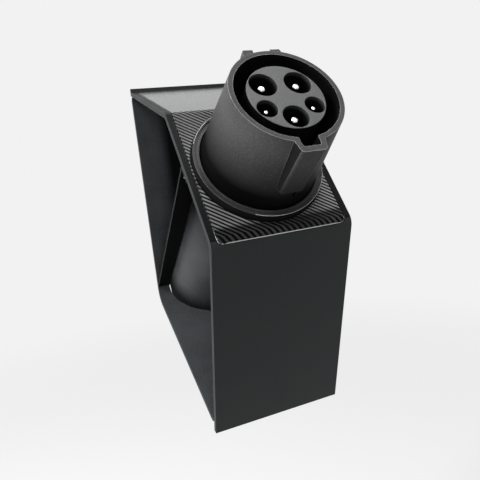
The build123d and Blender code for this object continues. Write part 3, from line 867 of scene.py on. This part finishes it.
def panelSheet():
    # Flat outline with rounded corners and the round hole
    look = facePanel
    bm = bmesh.new()
    outline = [(side * look["halfWidth"], along) for side, along in
               ((-1, look["start"]), (1, look["start"]), (1, look["end"]), (-1, look["end"]))]
    bm.faces.new([bm.verts.new((x, y, 0)) for x, y in outline])
    for along, corner in ((look["start"], look["corner"]), (look["end"], look["footCorner"])):
        ends = [v for v in bm.verts if abs(v.co.y - along) < nearly]
        bmesh.ops.bevel(
            bm, geom=ends, offset=corner, offset_type="OFFSET", segments=look["cornerSegments"],
            profile=0.5, affect="VERTICES", material=-1,
        )
    bmesh.ops.delete(bm, geom=bm.faces[:], context="FACES_ONLY")
    middle = Matrix.Translation((0, look["holeAlong"], 0))
    bmesh.ops.create_circle(
        bm, cap_ends=False, segments=look["holeSegments"], radius=look["holeRadius"], matrix=middle,
    )
    bmesh.ops.triangle_fill(
        bm, use_beauty=True, use_dissolve=False, edges=bm.edges[:], normal=(0, 0, 1),
    )
    return bm


def cutPanel(bm):
    # Across at each step of the folds, and slanting along both sides of each ridge
    look = facePanel
    for low, high in look["foldAlong"]:
        for step in range(look["foldSteps"] + 1):
            along = low + (high - low) * step / look["foldSteps"]
            cutAcross(bm, (0, along, 0), (0, 1, 0), 0)
    way = lineWay()
    pitch = panelFilm["pitch"]
    lines = look["foldAlong"][0][0]
    bend = look["foldAlong"][1][0]
    steep = Vector((way.x, way.y * look["bendStretch"], 0))
    first = math.floor((way.y * panelFilm["linesFrom"] - look["halfWidth"]) / pitch)
    last = math.ceil((way.y * look["end"] + look["halfWidth"]) / pitch)
    side, ridgeTop = look["ridgeSide"], look["ridgeTop"]
    for turn in range(first, last):
        for phase in (0, side, ridgeTop, ridgeTop + side):
            reach = (turn + phase) * pitch
            cutAcross(bm, way * reach, way, lines, bend)
            left = reach - way.y * bend * (1 - look["bendStretch"])
            cutAcross(bm, steep * left / steep.length_squared, steep, bend)


def makeFacePanel():
    look = facePanel
    bm = panelSheet()
    cutPanel(bm)
    made = bmesh.ops.extrude_face_region(bm, geom=bm.faces[:])
    for vert in bm.verts:
        vert.co.z = -look["thickness"]
    for part in made["geom"]:
        if isinstance(part, bmesh.types.BMVert):
            part.co.z = 0
    bmesh.ops.recalc_face_normals(bm, faces=bm.faces)
    top = [f for f in bm.faces if all(abs(v.co.z) < nearly for v in f.verts)]
    made = bmesh.ops.inset_region(
        bm, faces=top, thickness=look["rim"], depth=0, use_even_offset=True,
    )
    inner = {v for f in top for v in f.verts}
    outer = {v for f in made["faces"] for v in f.verts} - inner
    hole = Vector((0, look["holeAlong"], 0))
    rimReach = look["holeRadius"] + 2 * look["rim"]     # faces nearer than this are the hole's own rim
    # Painted highlight on the rim near the panel's foot, apart from the hole's own rim
    highlightBand = [f for f in made["faces"] if f.calc_center_median().y > look["highlightFrom"]
            and (f.calc_center_median() - hole).length > rimReach]
    for vert in inner:
        if vert.co.y > panelFilm["linesFrom"]:
            vert.co.z -= look["ridgeDepth"] * (1 - ridgeHeight(vert.co))
    for vert in outer:
        vert.co.z -= look["rimDrop"]
    for face in bm.faces:
        if face.calc_center_median().y > panelFilm["linesFrom"]:
            face.material_index = panelFinishes.index("panelLines")
    for face in highlightBand:
        face.material_index = panelFinishes.index("panelRimHighlight")
    flat = bm.loops.layers.uv.new("panelFlat")
    for face in bm.faces:
        for loop in face.loops:
            loop[flat].uv = (loop.vert.co.x, patternAlong(loop.vert.co.y))
    for vert in bm.verts:
        vert.co = bendPoint(*vert.co)
    bmesh.ops.recalc_face_normals(bm, faces=bm.faces)
    if bm.calc_volume(signed=True) < 0:     # so thin a sheet can come out with its inside outwards
        bmesh.ops.reverse_faces(bm, faces=bm.faces)
    piece = showPiece("face_panel.ribbed", bm, panelFinishes)
    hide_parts("face_panel")


makeFacePanel()

# Nodes that keep their CAD shape get the finish of their name, or else of the last word in it
nodeFinish = {
    "gasket": "sealRubber",
    "seal": "sealRubber",
    "liner": "sealRubber",
    # Base nodes get the painted shade of the deep walls
    "base": "deepWall",
    "pin": "brightContact",
    "sleeve": "contactBrass",
    "rod": "contactBrass",
    "stud": "bareSteel",
    "nut": "bareSteel",
    "screw": "bareSteel",
    "insulator": "corePlastic",
    "body": "bodyPlastic",
    "core_nut": "bodyPlastic",
}


def dressNodes():
    for name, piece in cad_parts.items():
        words = (name, *reversed(name.split("_")))
        kind = next((word for word in words if word in nodeFinish), None)
        if kind is None:
            continue
        material = finish[nodeFinish[kind]]
        if not piece.material_slots:
            piece.data.materials.append(material)
        for slot in piece.material_slots:
            slot.material = material


dressNodes()
print("nodes dressed")
